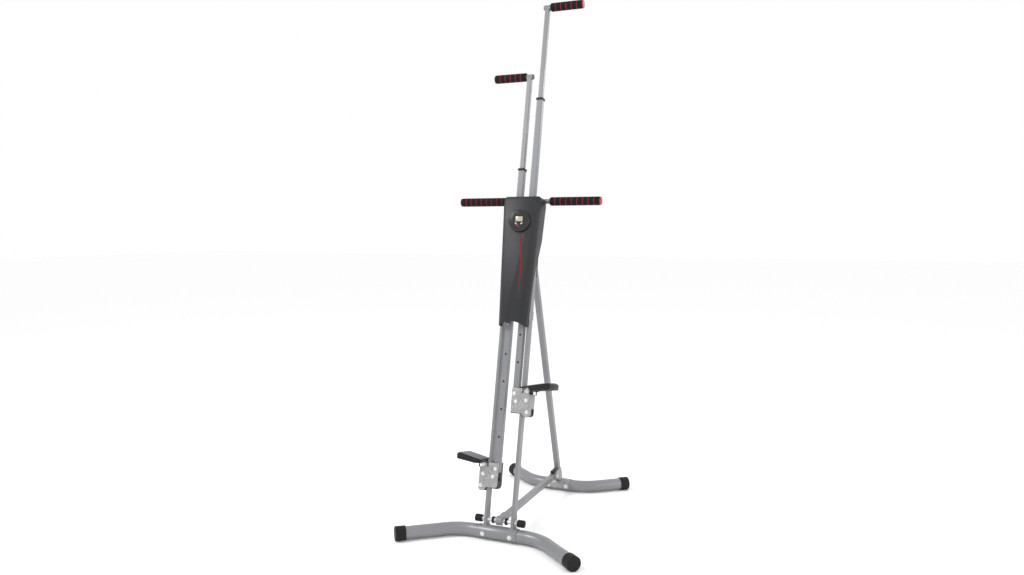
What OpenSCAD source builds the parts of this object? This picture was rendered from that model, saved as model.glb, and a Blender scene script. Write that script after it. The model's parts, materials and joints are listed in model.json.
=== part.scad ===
// Upright climbing machine: a leaning mast with two counter-moving climbing tubes,
// each with a pedal carriage below and a telescopic handle above, on a folding A-frame.
// The origin is on the floor under the middle of the machine, +Z is up and the user
// stands on the -Y side, so +X is the user's right.

/* [Stance] */
// Lean of the mast away from the user, in degrees
mast_lean = 12; // [8:0.5:14]
// Distance between the centre lines of the front and rear feet
foot_gap = 668; // [600:1:720]
// Half width of the front foot, to the cap's end face
front_foot_half = 360; // [320:1:380]
// How far the ends of the front foot come towards the user
front_foot_reach = 162; // [140:1:180]
// Half width of the rear foot, to the cap's end face
rear_foot_half = 282; // [270:1:320]
// How far the ends of the rear foot go to the rear
rear_foot_reach = 133; // [120:1:145]
// Bend of the foot ends, in degrees
foot_bend = 40; // [36:1:42]
// Radius of the foot tubes
foot_r = 24.5; // [22:0.5:26]
// Radius of the rubber foot caps
cap_r = 28; // [27.5:0.5:30]

/* [Mast] */
// Distance of each guide rail's middle from the centre plane
rail_x = 56; // [54:0.5:58]
// Width of a guide rail
rail_w = 12; // [10:1:14]
// Depth of a guide rail, and so of the mast
rail_d = 32; // [30:1:34]
// Length of the mast, from the foot tube to the rails' upper ends
rail_top = 1300; // [1280:1:1320]
// Distance of each climbing tube's middle from the centre plane
tube_x = 27; // [26.5:0.1:27.5]
// Side of the square climbing tubes
tube_w = 25; // [24:0.5:25.5]
// Height of the cross handlebar along the mast
bar_s = 1303; // [1300:1:1310]
// Half length of the cross handlebar
bar_half = 300; // [260:1:320]

/* [Climbing gear] */
// Height of the left carriage's outer roller along the mast, as drawn
left_carriage_s = 219; // [200:1:260]
// How much higher the right carriage is than the left one, as drawn
climb_offset = 292; // [280:1:300]
// Height of a tube's collar above its carriage's outer roller
collar_rise = 1211; // [1200:1:1220]
// Height of a handle above its tube's collar
handle_rise = 387; // [370:1:400]
// Side of the square handle posts
post_w = 19; // [18:0.5:20]
// Length of a handle grip
grip_len = 136; // [120:1:150]
// Radius of the foam grips
grip_r = 17; // [14:0.5:18]
// Radius of the carriage rollers
roller_r = 14.6; // [14:0.1:14.7]
// Upward slope of the pedals, in degrees
pedal_slope = 12; // [8:1:14]
// Front to back depth of a pedal
pedal_d = 99; // [90:1:110]

/* [Console] */
// Height of the console's upper end along the mast
console_top = 1308; // [1306:1:1312]
// Height of the console's lower corners along the mast
console_foot = 790; // [780:1:800]
// Half width of the console at its upper end
console_half_top = 78; // [76:1:84]
// Half width of the console at its lower end
console_half_foot = 55; // [52:1:58]
// Radius of the round timer
timer_r = 45; // [40:1:48]

/* [Hidden] */

$fn = 48;
steel = [0.66, 0.66, 0.70];
zinc = [0.74, 0.75, 0.76];
black = [0.07, 0.07, 0.08];
charcoal = [0.22, 0.23, 0.25];
red = [0.72, 0.10, 0.14];

tube_wall = 1.5;
foot_wall = 2;
wall = 2.5;
plate_t = 3;
run_fit = 0.05;

// The feet lie with the flat soles of their caps on the floor
sole_cut = 0.5;
foot_z = cap_r - sole_cut;
cap_t = 4;
cap_len = 40;
foot_arc = 165;
// The front foot's centre line, so that the footprint is centred on the origin
front_y = -(foot_gap + rear_foot_reach - front_foot_reach) / 2;
rear_y = front_y + foot_gap;

// The mast: the rails' front face passes just in front of the foot's centre line
mast_set = -12.7;
axle_s = 49;
axle_y = rail_d / 2;
axle_r = 8;
stop_r = 14;
tube_mid = tube_w / 2;
rail_in = rail_x - rail_w / 2;
rail_out = rail_x + rail_w / 2;

// Places in the carriage, from the middle of its outer roller
inner_x = rail_in - roller_r - 0.4;
outer_x = rail_out + roller_r + 0.4;
inner_ds = -7;
pad_x = 83;
pad_ds = -44;
pivot_x = 79;
pivot_ds = 36;
tie_ds = 23;
plate_front = -4;
plate_back = rail_d + 4;
carriage_out = 98;
tube_end_ds = 9.5;

// Rope and pulley
rope_r = 2;
rope_y = 28.7;
pulley_s = 1190;
pulley_r = 27;

// Rear leg: hinged behind the mast's upper end, it stands on the rear foot
leg_w = 22;
leg_d = 26;
leg_y = 50;
leg_s = 1240;
pivot_r = 4;
hinge_y = front_y + mast_set + leg_y * cos(mast_lean) + leg_s * sin(mast_lean);
hinge_z = foot_z + leg_s * cos(mast_lean) - leg_y * sin(mast_lean);
leg_foot_y = rear_y - 8;
leg_foot_z = foot_z + foot_r + 6;
leg_len = norm([leg_foot_y - hinge_y, hinge_z - leg_foot_z]);
leg_tilt = atan2(leg_foot_y - hinge_y, hinge_z - leg_foot_z);

// Brace: hinged in front of the leg's foot, it hooks over the axle
brace_w = 20;
brace_h = 25;
brace_y = rear_y - 70;
brace_z = 84;
hook_y = front_y + mast_set + axle_y * cos(mast_lean) + axle_s * sin(mast_lean);
hook_z = foot_z + axle_s * cos(mast_lean) - axle_y * sin(mast_lean);
brace_len = norm([brace_y - hook_y, brace_z - hook_z]);
brace_tilt = atan2(brace_z - hook_z, brace_y - hook_y);

// ---- Shared shapes ----

// The mast's own axes: x across, y towards the rear, z along the mast
module on_mast() {
    translate([0, front_y + mast_set, foot_z]) rotate([-mast_lean, 0, 0]) children();
}

// The leg's own axes: origin at the hinge, z up along the leg
module on_leg() {
    translate([0, hinge_y, hinge_z]) rotate([leg_tilt, 0, 0]) children();
}

// The brace's own axes: origin at its hinge, y along the brace, the hook on the -y side
module on_brace() {
    translate([0, brace_y, brace_z]) rotate([brace_tilt, 0, 0]) children();
}

// Flips what is drawn for the right-hand side when side is -1
module on_side(side) {
    if (side < 0) mirror([1, 0, 0]) children();
    else children();
}

// Places children at a carriage: z = 0 is its outer roller's height
module on_carriage(side) {
    s = side < 0 ? left_carriage_s : left_carriage_s + climb_offset;
    on_mast() translate([0, 0, s]) on_side(side) children();
}

module rod_x(r, x0, x1) {
    translate([x0, 0, 0]) rotate([0, 90, 0]) cylinder(r = r, h = x1 - x0);
}

// A rod towards +y
module rod_y(r, y0, y1) {
    translate([0, y0, 0]) rotate([-90, 0, 0]) cylinder(r = r, h = y1 - y0);
}

module block(x0, x1, y0, y1, z0, z1) {
    translate([x0, y0, z0]) cube([x1 - x0, y1 - y0, z1 - z0]);
}

module round_rect(w, d, r) {
    union() {
        square([w - 2 * r, d], center = true);
        square([w, d - 2 * r], center = true);
        for (x = [-1, 1], y = [-1, 1]) {
            translate([x * (w / 2 - r), y * (d / 2 - r)]) circle(r = r);
        }
    }
}

// A rectangular tube along z, centred on x = y = 0
module box_tube(w, d, r, z0, z1) {
    difference() {
        translate([0, 0, z0]) linear_extrude(z1 - z0) round_rect(w, d, r);
        translate([0, 0, z0 - 1]) linear_extrude(z1 - z0 + 2)
            round_rect(w - 2 * tube_wall, d - 2 * tube_wall, max(r - tube_wall, 0.6));
    }
}

// Extrudes an outline drawn in x and z from y0 to y1
module panel_y(y0, y1) {
    translate([0, y1, 0]) rotate([90, 0, 0]) linear_extrude(y1 - y0) children();
}

// Extrudes an outline drawn in y and z from x0 to x1
module panel_x(x0, x1) {
    translate([x0, 0, 0]) rotate([90, 0, 90]) linear_extrude(x1 - x0) children();
}

// A hexagon head with its washer, seated at y = 0 and standing out towards -y
module bolt_head(r = 7) {
    rod_y(r + 1.5, -1.5, 0);
    translate([0, -6, 0]) rotate([-90, 0, 0]) cylinder(r = r, h = 4.5, $fn = 6);
}

// The same head towards -x
module bolt_head_x(r = 7) {
    rotate([0, 0, -90]) bolt_head(r);
}

// ---- Feet ----

module ring_x(r_in, r_out, x0, x1) {
    difference() {
        rod_x(r_out, x0, x1);
        rod_x(r_in, x0 - 1, x1 + 1);
    }
}

// A foot: a straight pipe whose ends bend towards -y, with a weld bead round each joint
module foot_tube(half, reach) {
    run = (reach - cap_t * sin(foot_bend) - foot_arc * (1 - cos(foot_bend))) / sin(foot_bend);
    flat = half - cap_t * cos(foot_bend) - foot_arc * sin(foot_bend) - run * cos(foot_bend);
    r_in = foot_r - foot_wall;
    gap = 0.3;
    difference() {
        ring_x(r_in, foot_r, gap - flat, flat - gap);
        children();
    }
    for (side = [-1, 1]) on_side(side) translate([flat, -foot_arc, 0]) {
        rotate([0, 0, 90 - foot_bend]) rotate_extrude(angle = foot_bend) translate([foot_arc, 0])
            difference() {
                circle(r = foot_r);
                circle(r = r_in);
            }
        for (turn = [0, -foot_bend]) rotate([0, 0, turn]) translate([0, foot_arc, 0])
            ring_x(foot_r - 1.2, foot_r + 0.3, -3, 3);
        rotate([0, 0, -foot_bend]) translate([0, foot_arc, 0]) ring_x(r_in, foot_r, gap, run);
    }
}

module foot_cap(half, reach) {
    translate([half, -reach, 0]) rotate([0, 0, -foot_bend]) difference() {
        union() {
            rod_x(cap_r, -cap_len, -1.5);
            translate([-1.5, 0, 0]) rotate([0, 90, 0]) cylinder(r1 = cap_r, r2 = cap_r - 1.5, h = 1.5);
        }
        rod_x(foot_r + run_fit, -cap_len - 1, -cap_t);
        block(-cap_len - 1, 1, -40, 40, -40, -foot_z);
    }
}

// A steel saddle bent over the foot tube, and open underneath
module foot_saddle(half) {
    difference() {
        rod_x(foot_r + 2.5, -half, half);
        block(-half - 1, half + 1, -40, 40, -40, -13);
        rod_x(foot_r + run_fit, -half - 1, half + 1);
    }
}

module foot_bolt_holes(x) {
    for (side = [-1, 1]) translate([side * x, 0, 0]) rod_y(4.1, -40, 40);
}

module foot_bolt(x) {
    translate([x, 0, 0]) {
        translate([0, -foot_r - 2.5, 0]) bolt_head(7.5);
        rod_y(4, -foot_r - 2.5, foot_r + 3);
        translate([0, foot_r + 2.5, 0]) mirror([0, 1, 0]) bolt_head(7.5);
    }
}

front_bolt_x = rail_x;
rear_bolt_x = 41;

module at_front_foot() {
    translate([0, front_y, foot_z]) children();
}

module at_rear_foot() {
    translate([0, rear_y, foot_z]) mirror([0, 1, 0]) children();
}

module front_foot() {
    color(steel) at_front_foot() foot_tube(front_foot_half, front_foot_reach)
        foot_bolt_holes(front_bolt_x);
}

module front_foot_caps() {
    color(black) at_front_foot() for (side = [-1, 1]) on_side(side)
        foot_cap(front_foot_half, front_foot_reach);
}

module front_saddle() {
    color(steel) difference() {
        union() {
            at_front_foot() foot_saddle(80);
            on_mast() for (side = [-1, 1]) on_side(side) {
                block(rail_in - 3, rail_out + 3, -3, rail_d + 3, 4, 30.5);
                block(rail_in + 0.5, rail_out - 0.5, rail_d + run_fit, rail_d + 3, 30, 74);
            }
        }
        at_front_foot() rod_x(foot_r + run_fit, -100, 100);
        at_front_foot() foot_bolt_holes(front_bolt_x);
    }
}

module front_foot_bolts() {
    color(zinc) at_front_foot() for (side = [-1, 1]) foot_bolt(side * front_bolt_x);
}

module rear_foot() {
    color(steel) at_rear_foot() foot_tube(rear_foot_half, rear_foot_reach)
        foot_bolt_holes(rear_bolt_x);
}

module rear_foot_caps() {
    color(black) at_rear_foot() for (side = [-1, 1]) on_side(side)
        foot_cap(rear_foot_half, rear_foot_reach);
}

module rear_foot_bolts() {
    color(zinc) at_rear_foot() mirror([0, 1, 0]) for (side = [-1, 1]) foot_bolt(side * rear_bolt_x);
}

// ---- Mast ----

module rail(side) {
    color(steel) difference() {
        on_mast() translate([side * rail_x, rail_d / 2, 0])
            box_tube(rail_w, rail_d, 2.5, 30.5, rail_top);
        on_mast() translate([0, axle_y, axle_s]) rod_x(axle_r + run_fit, -90, 90);
    }
}

module left_rail() {
    rail(-1);
}

module right_rail() {
    rail(1);
}

module bottom_axle() {
    color(zinc) on_mast() translate([0, axle_y, axle_s]) {
        rod_x(axle_r, -98, 98);
        for (side = [-1, 1]) on_side(side) rod_x(11, rail_out + run_fit, rail_out + 3);
    }
}

module axle_bumpers() {
    color(black) on_mast() translate([0, axle_y, axle_s]) for (side = [-1, 1]) on_side(side)
        difference() {
            union() {
                rod_x(stop_r, 74, 100);
                translate([100, 0, 0]) rotate([0, 90, 0]) cylinder(r1 = stop_r, r2 = stop_r - 2, h = 2);
            }
            rod_x(axle_r + run_fit, 70, 98.05);
        }
}

module axle_rings() {
    color(black) on_mast() translate([0, axle_y, axle_s]) for (side = [-1, 1]) on_side(side)
        difference() {
            rod_x(stop_r - 1, 23, 31);
            rod_x(axle_r + run_fit, 20, 34);
        }
}

// A plate across the backs of the rails: it holds the pulley, the leg's hinge and the handlebar
module top_bracket() {
    ear_in = leg_w / 2 + 0.4;
    color(steel) on_mast() difference() {
        union() {
            block(-rail_out, rail_out, rail_d + run_fit, rail_d + plate_t, 1152, bar_s + 2);
            for (side = [-1, 1]) on_side(side) {
                panel_x(ear_in, ear_in + plate_t) {
                    translate([leg_y, leg_s]) circle(r = 13);
                    translate([rail_d + 1, leg_s - 22]) square([leg_y - rail_d - 1, 35]);
                }
                block(rail_in - 14, rail_out, rail_d + 1, rail_d + 13, bar_s - 16, bar_s + 2);
            }
        }
        translate([0, leg_y, leg_s]) rod_x(pivot_r + run_fit, -40, 40);
        translate([0, rail_d + 13, bar_s]) rod_x(10, -100, 100);
        translate([0, 0, pulley_s]) rod_y(4 + run_fit, 30, 40);
    }
}

// Two plates over and under the rails keep the climbing tubes' lower bushes in place
module lower_guide() {
    color(zinc) on_mast() {
        block(-rail_out, rail_out, -plate_t, -run_fit, 822, 858);
        block(-rail_out, rail_out, rail_d + run_fit, rail_d + plate_t, 822, 858);
        block(-34, -22, -plate_t, -run_fit, 796, 822);
        translate([-28, -plate_t, 803]) bolt_head(6);
    }
}

guide_levels = [824, 1258];
bush_h = 32;

// Nylon bushes between rail and tube; a groove at the back lets the rope through
module guide_bushes() {
    color(black) on_mast() for (side = [-1, 1], s = guide_levels) on_side(side) difference() {
        block(11.5, rail_in - 0.1, -0.05, rail_d - 0.05, s, s + bush_h);
        block(tube_x - tube_mid - 0.3, tube_x + tube_mid + 0.3, -1, tube_w + 0.3, s - 1, s + bush_h + 1);
        block(tube_x - 2.8, tube_x + 2.8, tube_w - 1, rope_y + 2.6, s - 1, s + bush_h + 1);
    }
}

module cross_handlebar() {
    color(steel) on_mast() translate([0, rail_d + 13, bar_s]) difference() {
        rod_x(10, -bar_half, bar_half);
        rod_x(8.4, -bar_half - 1, bar_half + 1);
    }
}

bar_grip_len = 208;

// Ribs of a foam grip: its outline along x, as points of radius and place
function grip_outline(x0, x1, n) = let (step = (x1 - x0) / n) concat(
    [[10.05, x0]],
    [for (i = [0:n - 1]) each [
        [grip_r - 1.6, x0 + i * step],
        [grip_r, x0 + (i + 0.18) * step],
        [grip_r, x0 + (i + 0.82) * step],
        [grip_r - 1.6, x0 + (i + 1) * step]
    ]],
    [[10.05, x1]]
);

module ribbed_grip(x0, x1, n) {
    rotate([0, 90, 0]) rotate_extrude() polygon(grip_outline(x0, x1, n));
}

module handlebar_grips() {
    color(black) on_mast() translate([0, rail_d + 13, bar_s]) for (side = [-1, 1]) on_side(side)
        ribbed_grip(bar_half - bar_grip_len, bar_half - 0.5, 9);
}

// Red plugs close the ends of the handlebar
module grip_end_plugs() {
    color(red) on_mast() translate([0, rail_d + 13, bar_s]) for (side = [-1, 1]) on_side(side) {
        rod_x(8.35, bar_half - 20, bar_half + 1);
        rod_x(grip_r - 0.5, bar_half, bar_half + 4);
    }
}

module leg_pivot_bolt() {
    edge = leg_w / 2 + 0.4 + plate_t;
    color(zinc) on_mast() translate([0, leg_y, leg_s]) {
        rod_x(pivot_r, -edge - 1, edge + 1);
        for (side = [-1, 1]) on_side(side) translate([edge, 0, 0]) rod_x(8, 0.05, 5);
    }
}

// ---- Rope ----

module pulley() {
    color(black) on_mast() translate([0, 0, pulley_s]) difference() {
        rotate([-90, 0, 0]) rotate_extrude(convexity = 4) polygon([
            [4.05, 25.7], [pulley_r + 2.4, 25.7], [pulley_r + 2.4, 26.1],
            [pulley_r - 2.3, 26.35], [pulley_r - 2.3, 31.05],
            [pulley_r + 2.4, 31.3], [pulley_r + 2.4, 31.7], [4.05, 31.7]
        ]);
        for (a = [0:60:300]) rotate([0, a, 0]) translate([15, 0, 0]) rod_y(3.5, 20, 40);
    }
}

// A headed pin carries the pulley on the bracket
module pulley_pin() {
    color(zinc) on_mast() translate([0, 0, pulley_s]) {
        rod_y(4, 22.6, rail_d + plate_t + 1);
        rod_y(7.5, 22.6, 25.3);
    }
}

// The rope's turn over the pulley
module rope_bend() {
    color(charcoal) on_mast() translate([0, rope_y, pulley_s]) rotate([90, 0, 0])
        rotate_extrude(angle = 180) translate([pulley_r, 0]) circle(r = rope_r, $fn = 20);
}

module rope_run(side) {
    s = side < 0 ? left_carriage_s : left_carriage_s + climb_offset;
    color(charcoal) on_mast() translate([side * tube_x, rope_y, s + 33])
        cylinder(r = rope_r, h = pulley_s - s - 33, $fn = 20);
}

module left_rope() {
    rope_run(-1);
}

module right_rope() {
    rope_run(1);
}

// ---- Console ----

// Half of the console's outline, from the middle of the top round to the middle of the bottom
function console_side(in) = [
    [0, console_top - in],
    [console_half_top - 10 - in, console_top - in],
    [console_half_top - 2 - in, console_top - 5 - in],
    [console_half_top + 1 - in, console_top - 34],
    [console_half_foot + 3 - in, console_foot + 6 + in],
    [console_half_foot - in, console_foot + in],
    [0, console_foot + in]
];

module console_outline(in) {
    half = console_side(in);
    rest = [for (i = [len(half) - 2:-1:1]) [-half[i][0], half[i][1]]];
    polygon(concat(half, rest));
}

console_face = -35;
console_bevel = 13;
console_wrap = rail_d + 2.8;
console_step = 985;

// The console's outer shape, or its hollow when in is the wall: a box with a wide bevel in front
module console_shape(in) {
    hull() {
        panel_y(console_face + console_bevel, console_wrap + in) console_outline(in);
        panel_y(console_face + in, console_face + in + 0.5) console_outline(console_bevel + in / 2);
    }
}

// The front shell: its side walls wrap round the rails at the top and taper off towards its foot
module console_cover() {
    arch_r = 90;
    color(charcoal) on_mast() difference() {
        console_shape(0);
        console_shape(wall);
        // the side walls end in front of the rails where these are wider than the hollow
        panel_x(-100, 100) polygon([
            [-0.4, 700], [80, 700], [80, console_step + 345], [-0.4, console_step]
        ]);
        // the arched lower edge
        translate([0, 0, console_foot + 20 - arch_r]) rod_y(arch_r, -60, 60);
        // the guide plate passes through the side walls
        block(-rail_out - 0.6, rail_out + 0.6, -plate_t - 0.6, 1, 821, 859);
        // open bottom between the side walls
        block(-console_half_foot + 4, console_half_foot - 4, console_face + console_bevel, 60, 700, 815);
        // the climbing tubes pass through the top
        for (side = [-1, 1]) on_side(side)
            block(tube_x - 14, tube_x + 14, -1.5, 26.5, 1280, 1320);
    }
}

// A flat back closes the upper part round the leg's hinge
module console_back() {
    color(charcoal) on_mast() difference() {
        union() {
            block(-rail_out - 0.8, rail_out + 0.8, console_wrap - 0.5, console_wrap + 1.5, 992, 1148);
            block(-rail_out - 0.8, rail_out + 0.8, rail_d + 0.1, console_wrap, 992, 1000);
        }
        block(-12.5, 12.5, 30, 60, 1060, 1160);
        for (x = [-rail_x, rail_x], s = [1012, 1132]) translate([x, 0, s]) rod_y(2.05, 30, 60);
    }
}

module console_screws() {
    color(zinc) on_mast() for (x = [-rail_x, rail_x], s = [1012, 1132])
        translate([x, console_wrap + 1.5, s]) {
            rod_y(2, -4.1, 0.5);
            rod_y(4, 0.05, 2);
        }
}

timer_s = 1207;
lcd_w = 30;
lcd_h = 20;
button_x = -7;
button_ds = -18;

module timer_pod() {
    color(black) on_mast() translate([0, console_face, timer_s]) difference() {
        union() {
            rotate([90, 0, 0]) rotate_extrude() polygon([
                [0, 0], [timer_r, 0],
                [timer_r - 0.6, 5], [timer_r - 3, 8], [timer_r - 7, 9], [0, 9]
            ]);
        }
        block(-lcd_w / 2, lcd_w / 2, -10, -6.5, -4, lcd_h - 4);
        translate([button_x, 0, button_ds]) rod_y(4.3, -10, -4);
    }
}

module timer_display() {
    color([0.75, 0.72, 0.58]) on_mast() translate([0, console_face, timer_s])
        block(-lcd_w / 2 + 0.1, lcd_w / 2 - 0.1, -8.4, -6.55, -3.9, lcd_h - 4.1);
}

module timer_button() {
    color(red) on_mast() translate([button_x, console_face, timer_s + button_ds]) rod_y(4, -10.2, -5.3);
}

// ---- Climbing tubes and carriages, drawn for the right-hand side ----

tube_top_ds = collar_rise - 8;

module climbing_tube(side) {
    color(steel) on_carriage(side) difference() {
        translate([tube_x, tube_mid, 0]) box_tube(tube_w, tube_w, 3, tube_end_ds, tube_top_ds);
        translate([tube_x, 0, tie_ds]) rod_y(4.1, -1, tube_w + 1);
        for (i = [0:3]) translate([tube_x, 0, 144 + 107 * i]) rod_y(4, -1, 3);
    }
}

// Side view of a carriage plate: a rounded plate with a lobe at the pad bolt
// and an eye at the pedal's hinge
module carriage_outline() {
    difference() {
        union() {
            translate([15, -49]) square([43, 94]);
            translate([50, -49]) square([carriage_out - 50, 77]);
            translate([pivot_x, pivot_ds]) circle(r = 11.5);
            translate([63, 20]) square([16, 20]);
            translate([pad_x - 3, pad_ds - 2]) circle(r = 18);
            translate([pad_x - 3, pad_ds - 2]) square([18, 10]);
        }
        // rounded lower inner corner
        difference() {
            translate([14, -50]) square([11, 11]);
            translate([25, -39]) circle(r = 10);
        }
    }
}

module carriage_channel() {
    r_out = 12;
    difference() {
        union() {
            block(15, carriage_out - r_out, plate_front - plate_t, plate_back + plate_t, -70, 50);
            block(carriage_out - 20, carriage_out, plate_front - plate_t + r_out,
                plate_back + plate_t - r_out, -70, 50);
            for (y = [plate_front - plate_t + r_out, plate_back + plate_t - r_out])
                translate([carriage_out - r_out, y, -70]) cylinder(r = r_out, h = 120);
        }
        block(14, carriage_out - r_out, plate_front, plate_back, -71, 51);
        block(14, carriage_out - plate_t, plate_front - plate_t + r_out,
            plate_back + plate_t - r_out, -71, 51);
        for (y = [plate_front - plate_t + r_out, plate_back + plate_t - r_out])
            translate([carriage_out - r_out, y, -71]) cylinder(r = r_out - plate_t, h = 122);
    }
}

module carriage(side) {
    color(zinc) on_carriage(side) {
        difference() {
            intersection() {
                carriage_channel();
                panel_y(-20, 60) carriage_outline();
            }
            // the web between the plates ends above the pad and below the pedal
            block(86.5, 110, plate_front + 5, plate_back - 5, -80, -31);
            block(86.5, 110, plate_front - 5, plate_back + 5, 24, 60);
            for (p = [[outer_x, 0], [inner_x, inner_ds], [pad_x, pad_ds], [pivot_x, pivot_ds], [tube_x, tie_ds]])
                translate([p[0], 0, p[1]]) rod_y(4.05, -20, 60);
        }
        // spacers on the tie bolt, and the clamp that takes the rope's end
        difference() {
            union() {
                translate([tube_x, 0, tie_ds]) rod_y(8, plate_front, -run_fit);
                block(tube_x - 6, tube_x + 6, tube_w + run_fit, plate_back, tie_ds - 10, tie_ds + 10);
            }
            translate([tube_x, 0, tie_ds]) rod_y(4.05, -20, 60);
        }
    }
}

// Outline of a glide pad in y and z: its lower rear corner is round
module pad_outline(z0, z1) {
    union() {
        translate([plate_front + 0.1, z0]) square([plate_back - plate_front - 14.2, z1 - z0]);
        translate([plate_back - 15, z0 + 14]) square([14.9, z1 - z0 - 14]);
        translate([plate_back - 14.1, z0 + 14]) circle(r = 14);
    }
}

module glide_pads(side) {
    color(black) on_carriage(side) difference() {
        union() {
            panel_x(rail_out + 0.3, 85.9) pad_outline(-62, -30);
            block(85, 93, plate_front + 5.4, plate_back - 5.4, -57, -31.3);
            panel_x(15, rail_in - 0.3) pad_outline(-52, -23.5);
        }
        translate([pad_x, 0, pad_ds]) rod_y(4.05, -20, 60);
        // relief above the roller
        translate([outer_x, 0, 0]) rod_y(roller_r + 1, -20, 60);
        translate([inner_x, 0, inner_ds]) rod_y(roller_r + 1, -20, 60);
    }
}

// One through bolt for each roller, for the pad, for the tube and for the pedal
module carriage_bolts(side) {
    color(zinc) on_carriage(side)
        for (p = [[outer_x, 0], [inner_x, inner_ds], [pad_x, pad_ds], [pivot_x, pivot_ds], [tube_x, tie_ds]])
            translate([p[0], 0, p[1]]) {
                translate([0, plate_front - plate_t, 0]) bolt_head(6.5);
                rod_y(4, plate_front - plate_t, plate_back + plate_t + 0.1);
                translate([0, plate_back + plate_t, 0]) rod_y(6.5, 0, 4.5);
            }
}

// A roller with a low flange at each end, which runs on a rail's side
module roller(side, x, ds) {
    color(black) on_carriage(side) translate([x, 0, ds]) difference() {
        union() {
            rod_y(roller_r, -1.6, rail_d + 1.6);
            rod_y(roller_r - 4, -3.6, rail_d + 3.6);
        }
        rod_y(4.05, -10, 50);
    }
}

module collar(side) {
    color(black) on_carriage(side) translate([tube_x, tube_mid, collar_rise]) difference() {
        union() {
            translate([0, 0, -8]) linear_extrude(8) round_rect(tube_w + 5, tube_w + 5, 4);
            translate([0, 0, -30]) linear_extrude(23)
                round_rect(tube_w - 2 * tube_wall - 0.1, tube_w - 2 * tube_wall - 0.1, 1.5);
        }
        translate([0, 0, -31]) linear_extrude(33) square(post_w + 0.6, center = true);
    }
}

// Pedal: a sloping tread on a knuckle between the carriage plates; its inner end
// reaches over the plates in front and behind, clear of the rail
module pedal(side) {
    root = 82;
    tip = 180;
    rise = tan(pedal_slope);
    y_mid = 10.5;
    color(black) on_carriage(side) difference() {
        union() {
            panel_y(y_mid - pedal_d / 2, y_mid + pedal_d / 2) polygon([
                [root, pivot_ds + 18.5], [tip - 8, pivot_ds + 18.5 + rise * 90 - 1],
                [tip - 2, pivot_ds + 34], [tip, pivot_ds + 30], [tip, pivot_ds + 15],
                [tip - 3, pivot_ds + 12], [100, pivot_ds + 2], [96, pivot_ds + 12.8],
                [root, pivot_ds + 12.8]
            ]);
            for (y = [y_mid - pedal_d / 2, y_mid + pedal_d / 2 - 14])
                panel_y(y, y + 14) polygon([
                    [root + 2, pivot_ds + 18.9], [root + 2, pivot_ds + 12.8],
                    [64, pivot_ds + 9.5], [60, pivot_ds + 12], [64, pivot_ds + 15]
                ]);
            // knuckle on the hinge bolt
            translate([pivot_x, 0, pivot_ds]) rod_y(9.5, plate_front + 0.4, plate_back - 0.4);
            block(pivot_x, root + 10, plate_front + 0.4, plate_back - 0.4, pivot_ds, pivot_ds + 14);
            // latch tongue under the tread
            block(101, 113, 8, 26, pivot_ds - 1, pivot_ds + 4);
            block(105, 108, 14, 20, pivot_ds - 14, pivot_ds);
        }
        translate([pivot_x, 0, pivot_ds]) rod_y(4.05, -60, 90);
        // hollow under the tread, between the ribs
        for (x = [104, 140]) block(x + 12, x + 34, y_mid - pedal_d / 2 + 5, y_mid + pedal_d / 2 - 5,
            pivot_ds - 20, pivot_ds + 12 + (x - 104) * 0.2);
    }
}

handle_end = tube_x + 15 + grip_len;
handle_r = 11;
post_low = -235;

// The post slides in the climbing tube; a crosswise bar on its top carries the grip
module handle_post(side) {
    color(steel) on_carriage(side) translate([0, 0, collar_rise]) difference() {
        union() {
            translate([tube_x, tube_mid, 0]) box_tube(post_w, post_w, 2.5, post_low, handle_rise - 5);
            translate([0, tube_mid, handle_rise]) rod_x(handle_r, tube_x - 14, handle_end);
        }
        translate([0, tube_mid, handle_rise]) rod_x(handle_r - tube_wall, tube_x - 20, handle_end + 2);
    }
}

module handle_grip(side) {
    color(black) on_carriage(side) translate([0, tube_mid, collar_rise + handle_rise]) {
        difference() {
            ribbed_grip(tube_x + 15, handle_end + 0.5, 5);
            rod_x(handle_r + run_fit, 0, 300);
        }
        // a plug closes the bar's inner end
        rod_x(handle_r - tube_wall - run_fit, tube_x - 16, tube_x - 4);
        rod_x(grip_r - 0.5, handle_end + 0.5, handle_end + 4);
    }
}

module left_climbing_tube() {
    climbing_tube(-1);
}

module right_climbing_tube() {
    climbing_tube(1);
}

module left_carriage() {
    carriage(-1);
}

module right_carriage() {
    carriage(1);
}

module left_glide_pads() {
    glide_pads(-1);
}

module right_glide_pads() {
    glide_pads(1);
}

module left_carriage_bolts() {
    carriage_bolts(-1);
}

module right_carriage_bolts() {
    carriage_bolts(1);
}

module left_collar() {
    collar(-1);
}

module right_collar() {
    collar(1);
}

module left_outer_roller() {
    roller(-1, outer_x, 0);
}

module right_outer_roller() {
    roller(1, outer_x, 0);
}

module left_inner_roller() {
    roller(-1, inner_x, inner_ds);
}

module right_inner_roller() {
    roller(1, inner_x, inner_ds);
}

module left_pedal() {
    pedal(-1);
}

module right_pedal() {
    pedal(1);
}

module left_handle_post() {
    handle_post(-1);
}

module right_handle_post() {
    handle_post(1);
}

module left_handle_grip() {
    handle_grip(-1);
}

module right_handle_grip() {
    handle_grip(1);
}

// ---- Rear leg and brace ----

module rear_leg() {
    color(steel) on_leg() difference() {
        union() {
            box_tube(leg_w, leg_d, 3, -leg_len, -6);
            rod_x(leg_d / 2, -leg_w / 2, leg_w / 2);
            block(-leg_w / 2, leg_w / 2, -leg_d / 2, leg_d / 2, -30, 0);
        }
        rod_x(pivot_r + run_fit, -20, 20);
    }
}

// The screw that clamps the leg, from the brace's hinge
clamp_dy = 51;
clamp_dz = 13;

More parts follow.
